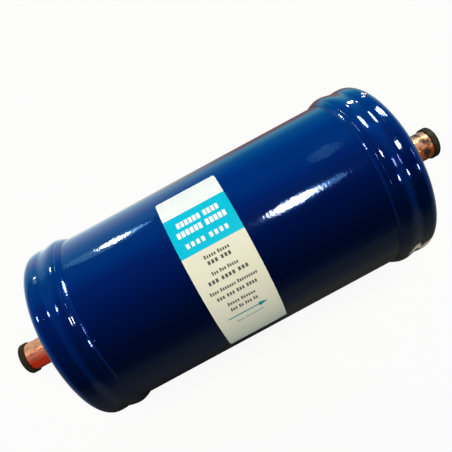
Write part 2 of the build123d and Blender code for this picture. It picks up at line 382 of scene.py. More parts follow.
@dataclass(frozen=True)
class Enamel(Finish):
    """Deep blue metallic enamel under a clear coat, with a faint orange peel and a few dust nibs.

    The sheet under it is uneven by wave, which is a share of wave_depth.
    """

    wave: float
    deep: Colour = (0.0, 0.0235, 0.19)
    bright: Colour = (0.0, 0.0285, 0.225)
    edge: Colour = (0.4, 0.8, 1.0)
    metal: float = 0.97
    coat_index: float = 1.33
    coat_roughness: float = 0.06
    tone_size: float = 22.0 * MM
    gloss_size: float = 9.0 * MM
    roughness: Range = (0.05, 0.1)
    peel_size: float = 1.3 * MM
    peel_depth: float = 0.022 * MM
    wave_size: float = 17.0 * MM
    wave_depth: float = 0.09 * MM
    nib_spacing: float = 15.0 * MM
    nib_radius: float = 0.028
    nib_height: float = 0.10 * MM

    def dress(self, bench: ShaderBench) -> None:
        """Wire the finish into a new material.

        Args:
            bench: the material.
        """
        bench.feed(bench.mix(bench.noise(self.tone_size), self.deep, self.bright), Socket.COLOUR)
        bench.feed(self.metal, Socket.METAL)
        bench.feed(1.0, Socket.COAT)
        bench.feed(self.coat_index, Socket.COAT_INDEX)
        bench.feed(self.coat_roughness, Socket.COAT_ROUGHNESS)
        bench.feed(self.edge, Socket.EDGE)
        bench.feed(bench.span(bench.noise(self.gloss_size), NOISE_RANGE, self.roughness), Socket.ROUGHNESS)
        wave_relief = bench.relief(bench.noise(self.wave_size, 2.0), self.wave_depth * self.wave)
        peel_relief = bench.relief(bench.noise(self.peel_size, 1.0), self.peel_depth, wave_relief)
        nibs = bench.span(bench.cells(self.nib_spacing), (0.0, self.nib_radius), (1.0, 0.0))
        nib_relief = bench.relief(nibs, self.nib_height, peel_relief)
        bench.feed(nib_relief, Socket.NORMAL)
        bench.feed(nib_relief, Socket.COAT_NORMAL)


TUBE_ENAMEL = Enamel(wave=0.35)
CAP_ENAMEL = Enamel(wave=1.0, coat_index=1.38)


@dataclass(frozen=True)
class DrawnCopper(Finish):
    """Drawn copper with lengthwise scratches and soot, and painted shade: darker and redder towards -Y."""

    bright: Colour
    shade_red: Colour
    dull: Colour
    sooty: float
    stain: Colour = (0.03, 0.022, 0.014)
    metal: float = 0.5
    streak_size: float = 0.6 * MM
    streak_depth: float = 0.04 * MM
    blotch_size: float = 3.0 * MM
    soot_size: float = 3.4 * MM
    shade_across: Range = (-2.5 * MM, 3.0 * MM)
    scratches: Range = (0.52, 0.66)
    scratch_share: Range = (0.0, 0.8)
    wear: Range = (0.56, 0.7)
    wear_share: Range = (0.0, 0.6)
    roughness: Range = (0.28, 0.5)
    soot_from: float = 108.6 * MM
    soot_at: float = 112.6 * MM
    soot_to: float = 115.6 * MM
    soot_lift: float = 0.46
    soot_edge: float = 0.7
    soot_edge_drop: float = 0.12
    soot_blur: float = 0.1
    soot_share: Range = (0.0, 0.92)

    def smoke(self, bench: ShaderBench, along: Port) -> Port:
        """Share of soot: cloudy all over, and thicker in a band round the socket.

        Args:
            bench: the material to wire into.
            along: place along the axis.

        Returns:
            The share, from 0 to about 0.9.
        """
        rise = bench.span(along, (self.soot_from, self.soot_at), (0.0, self.soot_lift))
        fall = bench.span(along, (self.soot_at, self.soot_to), (self.soot_lift, 0.0))
        cloud = bench.noise(self.soot_size, 5.0, (0.8, 1.0, 1.0))
        smoke = bench.combine("ADD", cloud, bench.combine("MULTIPLY", rise, fall))
        edge = self.soot_edge - self.soot_edge_drop * self.sooty
        return bench.span(smoke, (edge, edge + self.soot_blur), self.soot_share)

    def dress(self, bench: ShaderBench) -> None:
        """Wire the finish into a new material.

        Args:
            bench: the material.
        """
        streaks = bench.noise(self.streak_size, 4.0, (0.08, 1.0, 1.0))
        blotches = bench.noise(self.blotch_size, 3.0, (0.5, 1.0, 1.0))
        place = bench.split()
        # painted shade: the copper runs from its own colour to a dark red towards -Y
        shade_share = bench.span(place["Y"], self.shade_across, (1.0, 0.0))
        shaded = bench.mix(shade_share, self.bright, self.shade_red)
        scored = bench.mix(bench.span(streaks, self.scratches, self.scratch_share), shaded, self.dull)
        worn = bench.mix(bench.span(blotches, self.wear, self.wear_share), scored, self.dull)
        bench.feed(bench.mix(self.smoke(bench, place["X"]), worn, self.stain), Socket.COLOUR)
        bench.feed(self.metal, Socket.METAL)
        bench.feed(bench.span(streaks, NOISE_RANGE, self.roughness), Socket.ROUGHNESS)
        bench.feed(bench.relief(streaks, self.streak_depth), Socket.NORMAL)


CLEAN_COPPER = DrawnCopper((0.85, 0.36, 0.2), (0.95, 0.04, 0.008), (0.42, 0.1, 0.045), sooty=0.6)
SMOKED_COPPER = DrawnCopper((0.52, 0.32, 0.24), (0.5, 0.11, 0.03), (0.2, 0.09, 0.045), sooty=1.0)


@dataclass(frozen=True)
class Mottled(Finish):
    """A finish of two close colours in soft blotches, with a fine relief.

    The size of its blotches and the size and depth of its grain are in metres.
    """

    light: Colour
    dark: Colour
    blotch: float
    grain: float
    grain_depth: float
    roughness: float
    metal: float = 0.0
    gloss: float = 0.5
    sheen: float = 0.0

    def dress(self, bench: ShaderBench) -> None:
        """Wire the finish into a new material.

        Args:
            bench: the material.
        """
        spread = bench.span(bench.noise(self.blotch, 4.0), NOISE_RANGE)
        bench.feed(bench.mix(spread, self.dark, self.light), Socket.COLOUR)
        grain = bench.noise(self.grain, 2.0)
        rough = (self.roughness * 0.85, self.roughness * 1.15)
        bench.feed(bench.span(grain, (0.2, 0.8), rough), Socket.ROUGHNESS)
        bench.feed(bench.relief(grain, self.grain_depth), Socket.NORMAL)
        bench.feed(self.metal, Socket.METAL)
        bench.feed(self.gloss, Socket.GLOSS)
        bench.feed(self.sheen, Socket.SHEEN)


BRAZE = Mottled((0.62, 0.5, 0.3), (0.3, 0.2, 0.1), 2.0 * MM, 0.5 * MM, 0.05 * MM, 0.4, metal=0.8)
FELT = Mottled((0.82, 0.79, 0.7), (0.6, 0.56, 0.46), 4.0 * MM, 0.3 * MM, 0.2 * MM, 0.95, sheen=0.3)
ZINC = Mottled((0.66, 0.66, 0.62), (0.4, 0.4, 0.36), 6.0 * MM, 0.6 * MM, 0.02 * MM, 0.34, metal=0.95)
WIRE = Mottled((0.42, 0.41, 0.4), (0.16, 0.15, 0.14), 3.0 * MM, 0.3 * MM, 0.02 * MM, 0.3, metal=0.95)
RUBBER = Mottled((0.035, 0.035, 0.035), (0.014, 0.014, 0.014), 5.0 * MM, 0.3 * MM, 0.03 * MM, 0.7)
PLASTIC = Mottled(
    (0.034, 0.028, 0.014), (0.014, 0.011, 0.006), 2.5 * MM, 0.4 * MM, 0.02 * MM, 0.5, gloss=0.14
)


@dataclass(frozen=True)
class GrainyBlock(Finish):
    """Moulded desiccant: small round grains bonded together, with painted shade in the gaps."""

    grain: float = 1.4 * MM
    grain_depth: float = 0.5 * MM
    bead_reach: float = 0.75
    crown: Colour = (0.74, 0.66, 0.54)
    gap_shade: Colour = (0.4, 0.33, 0.25)

    def dress(self, bench: ShaderBench) -> None:
        """Wire the finish into a new material.

        Args:
            bench: the material.
        """
        bead = bench.span(bench.cells(self.grain), (0.0, self.bead_reach))
        # painted shade: colour runs from the grain's crown to darker in the gaps between grains
        bench.feed(bench.mix(bead, self.crown, self.gap_shade), Socket.COLOUR)
        bench.feed(0.9, Socket.ROUGHNESS)
        bench.feed(bench.relief(bead, -self.grain_depth), Socket.NORMAL)


@dataclass(frozen=True)
class WovenWire(Finish):
    """Plain woven screen of two crossed wave patterns across the axis, with painted shade in its openings.
    """

    pitch: float = 0.9 * MM
    depth: float = 0.2 * MM
    wire: Colour = (0.62, 0.62, 0.6)
    gap_shade: Colour = (0.05, 0.05, 0.05)

    def dress(self, bench: ShaderBench) -> None:
        """Wire the finish into a new material.

        Args:
            bench: the material.
        """
        strands = []
        for direction in ("Y", "Z"):
            wave = bench.add("ShaderNodeTexWave", bands_direction=direction)
            wave.inputs["Scale"].default_value = math.pi / (10.0 * self.pitch)
            bench.link(bench.place(), wave.inputs["Vector"])
            strands.append(wave.outputs["Fac"])
        mesh = bench.combine("MAXIMUM", *strands)
        # painted shade: the openings between the wires are dark
        bench.feed(bench.mix(mesh, self.gap_shade, self.wire), Socket.COLOUR)
        bench.feed(0.85, Socket.METAL)
        bench.feed(0.35, Socket.ROUGHNESS)
        bench.feed(bench.relief(mesh, self.depth), Socket.NORMAL)


@dataclass(frozen=True)
class LabelInk(Finish):
    """Printed or bare film, satin, with a faint mottle of one colour."""

    colour: Colour
    mottle: float = 0.05
    mottle_size: float = 6.0 * MM
    satin_size: float = 3.0 * MM
    ripple_size: float = 5.0 * MM
    ripple_depth: float = 0.01 * MM
    roughness: Range = (0.4, 0.5)
    gloss: float = 0.06

    def dress(self, bench: ShaderBench) -> None:
        """Wire the finish into a new material.

        Args:
            bench: the material.
        """
        low = tuple(channel * (1.0 - self.mottle) for channel in self.colour)
        bench.feed(bench.mix(bench.noise(self.mottle_size, 4.0), low, self.colour), Socket.COLOUR)
        bench.feed(bench.span(bench.noise(self.satin_size), NOISE_RANGE, self.roughness), Socket.ROUGHNESS)
        bench.feed(self.gloss, Socket.GLOSS)
        bench.feed(bench.relief(bench.noise(self.ripple_size, 1.0), self.ripple_depth), Socket.NORMAL)


def paint_node(node: bpy.types.Object, finish: bpy.types.Material) -> None:
    """Give every face of a CAD node one finish."""
    node.data.materials.clear()
    node.data.materials.append(finish)


def show_mesh(mesh: bpy.types.Mesh, finish: bpy.types.Material) -> bpy.types.Object:
    """Shade a mesh smooth, give it one finish and link it to the scene as an object of its own name.

    Args:
        mesh: the finished mesh.
        finish: its material.

    Returns:
        The new object.
    """
    for polygon in mesh.polygons:
        polygon.use_smooth = True
    mesh.materials.append(finish)
    piece = bpy.data.objects.new(mesh.name, mesh)
    bpy.context.scene.collection.objects.link(piece)
    return piece


def new_piece(name: str, verts: list[Vector], faces: Faces, finish: bpy.types.Material) -> bpy.types.Object:
    """Make a smooth mesh piece.

    Args:
        name: the piece's name.
        verts: its points in metres.
        faces: its faces as tuples of point numbers.
        finish: its material.

    Returns:
        The new object, linked to the scene.
    """
    mesh = bpy.data.meshes.new(name)
    mesh.from_pydata([tuple(vert) for vert in verts], [], faces)
    mesh.update()
    return show_mesh(mesh, finish)


def disc_faces(rings: int, steps: int) -> Faces:
    """Faces of a disc or dome: a fan round point 0, and bands between the rings of points after it.

    Args:
        rings: how many rings there are.
        steps: how many points each ring has.

    Returns:
        The faces, from the middle outwards.
    """
    faces: Faces = [(0, 1 + step, 1 + (step + 1) % steps) for step in range(steps)]
    for inner in range(1, 1 + (rings - 1) * steps, steps):
        outer = inner + steps
        for step in range(steps):
            after = (step + 1) % steps
            faces.append((inner + step, outer + step, outer + after, inner + after))
    return faces


@dataclass
class WeldSeam:
    """Painted fillet weld round one end: a swelled bead with the fine ripple of a turned weld."""

    end: End
    finish: bpy.types.Material
    steps_round: int = 900
    steps_across: int = 12
    ripple_pitch: float = 1.5 * MM
    ripple_height: float = 0.012 * MM
    lump_size: float = 12.0 * MM
    lump_height: float = 0.10 * MM
    lump_offset: float = 3.0
    swell: float = 0.25 * MM
    rise_limit: float = 0.42 * MM
    rise_share: float = 0.85

    def height(self, share: float, angle: float, radius: float) -> float:
        """Rise of the bead above its straight profile.

        Args:
            share: place across the bead, 0 at the toe and 1 at the crest.
            angle: place round the shell in radians.
            radius: radius of the shell in metres.

        Returns:
            The rise in metres.
        """
        arch = 4.0 * share * (1.0 - share)
        ripple = math.sin(angle * radius / self.ripple_pitch * math.tau - 2.0 * share)
        around = Vector((self.end.value * self.lump_offset, math.cos(angle), math.sin(angle)))
        lump = noise.noise(around * (radius / self.lump_size))
        return arch * (self.swell + self.ripple_height * ripple + self.lump_height * lump)

    def build(self) -> None:
        """Make the bead in place of its CAD node."""
        node = self.end.named("weld_bead")
        low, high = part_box(node)
        shell_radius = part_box("shell_tube")[1].z
        crest_radius = high.z
        side = self.end.value
        toe_at = min(abs(low.x), abs(high.x)) * side
        crest_at = max(abs(low.x), abs(high.x)) * side
        verts: list[Vector] = []
        for step in range(self.steps_round):
            angle = math.tau * step / self.steps_round
            for row in range(self.steps_across + 1):
                share = row / self.steps_across
                rise = min(self.height(share, angle, shell_radius), self.rise_limit) * self.rise_share
                radius = shell_radius + (crest_radius - shell_radius) * share + rise
                along = toe_at + (crest_at - toe_at) * share
                verts.append(Vector((along, radius * math.cos(angle), radius * math.sin(angle))))
            verts.append(Vector((crest_at, shell_radius * math.cos(angle), shell_radius * math.sin(angle))))
        faces: Faces = []
        rows = self.steps_across + 2
        for step in range(self.steps_round):
            here = step * rows
            there = (step + 1) % self.steps_round * rows
            for row in range(rows):
                above = (row + 1) % rows
                faces.append((here + row, there + row, there + above, here + above))
        if side > 0:
            faces = [tuple(reversed(face)) for face in faces]
        bead = new_piece(self.end.named("weld_seam"), verts, faces, self.finish)
        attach(bead, "drier")
        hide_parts(node)


@dataclass(frozen=True)
class PaintNib:
    """One painted-over grain, weld spatter or dust, standing on a painted surface.

    Its place is given along the axis and by the turn about it, from +Z towards +Y.
    """

    name: str
    on: str
    at: float
    turn_deg: float
    radius: float
    rings: int = 10
    flatness: float = 0.62
    dome: float = 0.58 * math.pi
    cast_from: float = 60.0 * MM

    def build(self, carrier: bpy.types.Object, finish: bpy.types.Material) -> None:
        """Seat the grain on its carrier's surface.

        Args:
            carrier: the CAD node that it stands on.
            finish: its material.
        """
        turn = math.radians(self.turn_deg)
        outward = Vector((0.0, math.sin(turn), math.cos(turn)))
        start = Vector((self.at, 0.0, 0.0)) + outward * self.cast_from
        found, foot, normal, _ = carrier.ray_cast(start, -outward)
        if not found:
            raise ValueError(f"{self.name} finds no surface on {self.on}")
        lean = normal.to_track_quat("Z", "X")
        verts = [foot + lean @ Vector((0.0, 0.0, self.radius * self.flatness))]
        steps = self.rings * 2
        for ring in range(1, self.rings + 1):
            slope = self.dome * ring / self.rings
            reach = self.radius * math.sin(slope)
            height = self.radius * self.flatness * math.cos(slope)
            for step in range(steps):
                angle = math.tau * step / steps
                point = Vector((reach * math.cos(angle), reach * math.sin(angle), height))
                verts.append(foot + lean @ point)
        faces = disc_faces(self.rings, steps)
        last = 1 + (self.rings - 1) * steps
        faces.append(tuple(last + step for step in reversed(range(steps))))
        nib = new_piece(self.name, verts, faces, finish)
        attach(nib, "drier")


PAINT_NIBS = (
    PaintNib("paint_nib_1", "shell_tube", -69.3 * MM, -1.8, 0.62 * MM),
    PaintNib("paint_nib_2", "shell_tube", -56.6 * MM, 30.3, 0.26 * MM),
    PaintNib("paint_nib_3", "inlet_end_cap", -76.3 * MM, 49.0, 0.34 * MM),
    PaintNib("paint_nib_4", "inlet_end_cap", -86.0 * MM, 35.5, 0.3 * MM),
    PaintNib("paint_nib_5", "inlet_end_cap", -83.5 * MM, 21.0, 0.4 * MM),
)


class Ink(Enum):
    """Colours of the label's inks and bare films."""

    WHITE = (0.93, 0.95, 0.94)
    PAPER = (0.81, 0.79, 0.63)
    TURQUOISE = (0.0, 0.53, 0.72)
    TEAL = (0.01, 0.26, 0.32)
    GREY = (0.12, 0.11, 0.095)
    PALE_TEAL = (0.3, 0.46, 0.46)


@dataclass(frozen=True)
class PrintRow:
    """One line of the label's print, without its wording.

    Attributes:
        level: its middle on the label, as v.
        length: its length along the axis.
        tall: height of its capitals.
        words: how many letters each word has.
        ink: its ink.
        fill: share of a letter's pitch that its block covers.
        small: height of the other letters, as a share of the capitals.
        space: gap between words, as a share of the pitch.
    """

    level: float
    length: float
    tall: float
    words: tuple[int, ...]
    ink: Ink = Ink.GREY
    fill: float = 0.66
    small: float = 0.74
    space: float = 0.6


PRINT_ROWS = (
    PrintRow(25.7 * MM, 20.7 * MM, 2.8 * MM, (6, 4), Ink.WHITE, fill=0.76, small=1.0),
    PrintRow(21.1 * MM, 23.9 * MM, 2.8 * MM, (6, 5), Ink.WHITE, fill=0.76, small=1.0),
    PrintRow(15.2 * MM, 21.0 * MM, 2.2 * MM, (4, 4), Ink.WHITE, fill=0.6, small=1.0),
    PrintRow(7.6 * MM, 12.2 * MM, 1.7 * MM, (5, 5)),
    PrintRow(4.7 * MM, 11.5 * MM, 1.7 * MM, (3, 3), small=1.0),
    PrintRow(0.0 * MM, 12.7 * MM, 1.7 * MM, (3, 3, 5)),
    PrintRow(-3.4 * MM, 19.4 * MM, 1.7 * MM, (3, 4, 3), small=1.0),
    PrintRow(-7.9 * MM, 22.8 * MM, 1.7 * MM, (4, 7, 9)),
    PrintRow(-11.5 * MM, 19.5 * MM, 1.7 * MM, (3, 3, 3, 4), small=0.9),
    PrintRow(-15.9 * MM, 13.6 * MM, 1.7 * MM, (5, 6)),
    PrintRow(-19.2 * MM, 13.4 * MM, 1.7 * MM, (3, 2, 3, 2), small=0.9),
    PrintRow(-26.9 * MM, 13.3 * MM, 1.3 * MM, (4, 9), Ink.PALE_TEAL),
)


@dataclass
class RatingLabel:
    """Print on the rating label: colour fields, small blocks in place of letters, and the flow arrow.

    Places on the label are measured from its middle: u along the drier's axis towards the outlet, and v
    round the shell towards the label's top edge, both in metres on the film.
    """

    proud: float = 0.035 * MM
    slice_height: float = 0.7 * MM
    corner: float = 1.2 * MM
    corner_steps: int = 6
    head_ends: float = 30.9 * MM
    band_ends: float = 11.0 * MM
    inks: dict[Ink, bpy.types.Material] = field(default_factory=dict)
    film_radius: float = 0.0
    middle_at: float = 0.0
    half_width: float = 0.0
    half_height: float = 0.0

    def measure(self) -> None:
        """Read the film's place and size from its CAD node."""
        low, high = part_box("label")
        self.film_radius = high.z
        self.middle_at = (low.x + high.x) / 2
        self.half_width = (high.x - low.x) / 2
        half_angle = math.atan2(high.y, low.z)
        self.half_height = half_angle * self.film_radius

    def on_film(self, u: float, v: float, lift: float) -> Vector:
        """Point in the frame of a place on the label.

        Args:
            u: place along the axis.
            v: place round the shell.
            lift: height above the film.

        Returns:
            The point.
        """
        angle = v / self.film_radius
        radius = self.film_radius + lift
        return Vector((self.middle_at + u, radius * math.sin(angle), radius * math.cos(angle)))

    def patch(self, name: str, outlines: list[Outline], ink: Ink, layer: int = 1) -> None:
        """Lay flat shapes on the film.

        Args:
            name: the piece's name.
            outlines: corners of each shape as (u, v), in order round it.
            ink: its ink.
            layer: which layer of print it is, counted from 1 on the bare film.
        """
        work = bmesh.new()
        for outline in outlines:
            work.faces.new([work.verts.new((u, v, 0.0)) for u, v in outline])
        tall = [vert.co.y for vert in work.verts]
        cuts = max(1, int((max(tall) - min(tall)) / self.slice_height))
        for cut in range(1, cuts):
            level = min(tall) + (max(tall) - min(tall)) * cut / cuts
            geometry = work.verts[:] + work.edges[:] + work.faces[:]
            bmesh.ops.bisect_plane(work, geom=geometry, plane_co=(0, level, 0), plane_no=(0, 1, 0))
        for vert in work.verts:
            vert.co = self.on_film(vert.co.x, vert.co.y, self.proud * layer)
        bmesh.ops.recalc_face_normals(work, faces=work.faces[:])
        if sum(face.normal.z for face in work.faces) < 0:
            bmesh.ops.reverse_faces(work, faces=work.faces[:])
        mesh = bpy.data.meshes.new(name)
        work.to_mesh(mesh)
        work.free()
        piece = show_mesh(mesh, self.inks[ink])
        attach(piece, "drier")

    def band(self, name: str, levels: Range, ink: Ink, rounded: Edge = Edge.NONE) -> None:
        """Lay a colour field right across the label.

        Args:
            name: the piece's name.
            levels: its upper and its lower edge, as v.
            ink: its ink.
            rounded: which of its edges is an end of the label, with rounded corners.
        """
        top, bottom = levels
        side = self.half_width
        right = self.bend(bottom, -1) if rounded is Edge.FOOT else [(side, bottom)]
        right += self.bend(top, 1) if rounded is Edge.HEAD else [(side, top)]
        left = [(-u, v) for u, v in reversed(right)]
        self.patch(name, [right + left], ink)

    def bend(self, end: float, way: int) -> Outline:
        """Right-hand corner of an end of the label, from its lower point to its upper one.

        Args:
            end: the end's place, as v.
            way: 1 for the label's head and -1 for its foot.

        Returns:
            The corner's points.
        """
        points = []
        for step in range(self.corner_steps + 1):
            angle = math.pi / 2 * step / self.corner_steps
            reach = self.corner * (1 - math.cos(angle))
            rise = self.corner * (1 - math.sin(angle))
            points.append((self.half_width - reach, end - way * rise))
        return points if way > 0 else points[::-1]

    def line(self, row: PrintRow, number: int) -> None:
        """Lay one line of print as small blocks, a block for each letter.

        Args:
            row: where the line is, how large it is and how many letters its words have.
            number: its number, for the piece's name.
        """
        letters = sum(row.words)
        pitch = row.length / (letters + row.space * (len(row.words) - 1))
        start = -row.length / 2
        shapes = []
        for word in row.words:
            for letter in range(word):
                low = row.level - row.tall / 2
                high = low + (row.tall if letter == 0 else row.tall * row.small)
                end = start + pitch * row.fill
                shapes.append([(start, low), (end, low), (end, high), (start, high)])
                start += pitch
            start += pitch * row.space
        self.patch(f"print_line_{number}", shapes, row.ink, layer=2)

    def arrow(self) -> None:
        """Lay the arrow that shows the flow direction."""
        middle = -23.6 * MM
        half, shaft, head, wing = 9.9 * MM, 0.3 * MM, 4.4 * MM, 1.2 * MM
        outline = [
            (-half, middle - shaft),
            (half - head, middle - shaft),
            (half - head, middle - wing),
            (half, middle),
            (half - head, middle + wing),
            (half - head, middle + shaft),
            (-half, middle + shaft),
        ]
        self.patch("flow_arrow", [outline], Ink.TEAL, layer=2)

    def build(self, label: bpy.types.Object) -> None:
        """Dress the film and lay all of its print.

        Args:
            label: the film's CAD node.
        """
        self.measure()
        for ink in Ink:
            self.inks[ink] = LabelInk(ink.value).make(f"ink_{ink.name.lower()}")
        paint_node(label, self.inks[Ink.PAPER])
        self.band("label_head", (self.half_height, self.head_ends), Ink.WHITE, Edge.HEAD)
        self.band("label_band", (self.head_ends, self.band_ends), Ink.TURQUOISE)
        self.band("label_foot", (self.band_ends, -self.half_height), Ink.PAPER, Edge.FOOT)
        for number, row in enumerate(PRINT_ROWS, start=1):
            self.line(row, number)
        self.arrow()


@dataclass
class PaintedCan:
    """The welded can: shell, end caps and weld seams under one coat of enamel."""

    nodes: dict[str, bpy.types.Object]

    def build(self) -> None:
        """Paint the shell and the caps, and lay the seams."""
        tube_paint = TUBE_ENAMEL.make("blue_enamel_tube")
        cap_paint = CAP_ENAMEL.make("blue_enamel_cap")
        paint_node(self.nodes["shell_tube"], tube_paint)
        for end in End:
            paint_node(self.nodes[end.named("end_cap")], cap_paint)
            WeldSeam(end, cap_paint).build()
        for nib in PAINT_NIBS:
            nib.build(self.nodes[nib.on], cap_paint)


@dataclass
class SocketEnd:
    """One end's copper socket with its braze and its dust cap."""

    end: End
    nodes: dict[str, bpy.types.Object]
    copper: DrawnCopper

    def build(self) -> None:
        """Dress the fitting, the braze ring and the dust cap."""
        for part, finish, name in (
            ("fitting", self.copper, "copper"),
            ("braze_ring", BRAZE, "braze"),
            ("dust_cap", PLASTIC, "cap_plastic"),
        ):
            paint_node(self.nodes[self.end.named(part)], finish.make(self.end.named(name)))


@dataclass
class InnerStack:
    """What the can holds: spring, plates, pads, gasket, screen and desiccant core."""

    nodes: dict[str, bpy.types.Object]

    def build(self) -> None:
        """Dress every inner piece."""
        finishes = {
            "inlet_felt_pad": FELT.make("pressed_felt"),
            "filter_pad": FELT.make("glass_felt"),
            "spring_plate": ZINC.make("zinc_spring_plate"),
            "support_plate": ZINC.make("zinc_support_plate"),
            "core_spring": WIRE.make("spring_wire"),
            "core_gasket": RUBBER.make("gasket_rubber_black"),
            "mesh_screen": WovenWire().make("woven_wire"),
            "desiccant_core": GrainyBlock().make("desiccant_grains"),
        }
        for name, finish in finishes.items():
            paint_node(self.nodes[name], finish)


class Tint(Enum):
    """Colours of the lamps' light."""

    KEY = (1.0, 0.83, 0.64)
    LAMP = (1.0, 0.52, 0.17)
    TAIL = (0.8, 1.0, 0.5)
    HAZE = (0.65, 1.0, 0.35)
    CAP = (1.0, 0.75, 0.45)
    RIM = (1.0, 0.7, 0.42)


class Role(Enum):
    """What a lamp is for: even light on the surfaces, or mirrored glints."""

    FILL = "fill"
    GLINT = "glint"


@dataclass(frozen=True)
class Panel:
    """One flat lamp, turned to the middle of the drier with its width along the axis.

    Attributes:
        name: the lamp's name.
        place: where its middle is.
        width: its size along the axis.
        height: its size across.
        radiance: how bright its face is.
        tint: the colour of its light.
        role: a glint is an oval and shows in mirrored rays only; a fill is a rectangle that lights only.
    """

    name: str
    place: Triple
    width: float
    height: float
    radiance: float
    tint: Tint
    role: Role = Role.GLINT

    def build(self) -> None:
        """Hang the lamp."""
        glint = self.role is Role.GLINT
        lamp = bpy.data.lights.new(self.name, "AREA")
        lamp.shape = "ELLIPSE" if glint else "RECTANGLE"
        lamp.size = self.width
        lamp.size_y = self.height
        area = self.width * self.height * (math.pi / 4 if glint else 1.0)
        lamp.energy = self.radiance * math.pi * area
        lamp.color = self.tint.value
        hung = bpy.data.objects.new(self.name, lamp)
        back = Vector(self.place).normalized()
        up = back.cross(Vector((1.0, 0.0, 0.0))).normalized()
        across = up.cross(back).normalized()
        turn = Matrix((across, up, back)).transposed().to_4x4()
        hung.matrix_world = Matrix.Translation(Vector(self.place)) @ turn
        hung.visible_camera = False
        hung.visible_glossy = glint
        hung.visible_diffuse = not glint
        bpy.context.scene.collection.objects.link(hung)


PANELS = (
    Panel("key_fill", (0.05, 0.33, 1.0), 0.5, 0.5, 14.5, Tint.KEY, Role.FILL),
    Panel("overhead_glint", (0.23, 0.37, 0.95), 0.152, 0.17, 80.0, Tint.LAMP),
    Panel("overhead_tail", (0.31, 0.37, 0.95), 0.14, 0.15, 2.5, Tint.TAIL),
    Panel("side_glint", (-0.157, 0.6, 0.0), 0.06, 0.066, 80.0, Tint.LAMP),
    Panel("side_tail", (-0.12, 0.6, 0.0), 0.07, 0.04, 4.0, Tint.TAIL),
    Panel("far_glint", (0.55, 0.79, 0.3), 0.2, 0.3, 40.0, Tint.CAP),
    Panel("side_haze", (-0.175, 0.6, -0.01), 0.15, 0.17, 1.2, Tint.HAZE),
    Panel("wall_haze", (0.34, 0.8, 0.5), 0.08, 0.26, 0.7, Tint.HAZE),
    Panel("inlet_glint", (-0.6, 0.56, 0.58), 0.09, 0.09, 60.0, Tint.CAP),
    Panel("outlet_glint", (0.6, -0.2, 0.78), 0.09, 0.09, 80.0, Tint.CAP),
    Panel("outlet_streak", (0.71, 0.077, 0.685), 0.05, 0.16, 14.0, Tint.CAP),
    Panel("rim_haze", (0.117, -0.089, -0.041), 0.035, 0.035, 0.7, Tint.RIM),
    Panel("bead_glint_1", (0.138, 0.112, -0.012), 0.006, 0.006, 80.0, Tint.LAMP),
    Panel("bead_glint_2", (0.150, 0.104, -0.018), 0.005, 0.005, 80.0, Tint.LAMP),
    Panel("bead_glint_3", (0.128, 0.122, 0.004), 0.006, 0.006, 80.0, Tint.LAMP),
)


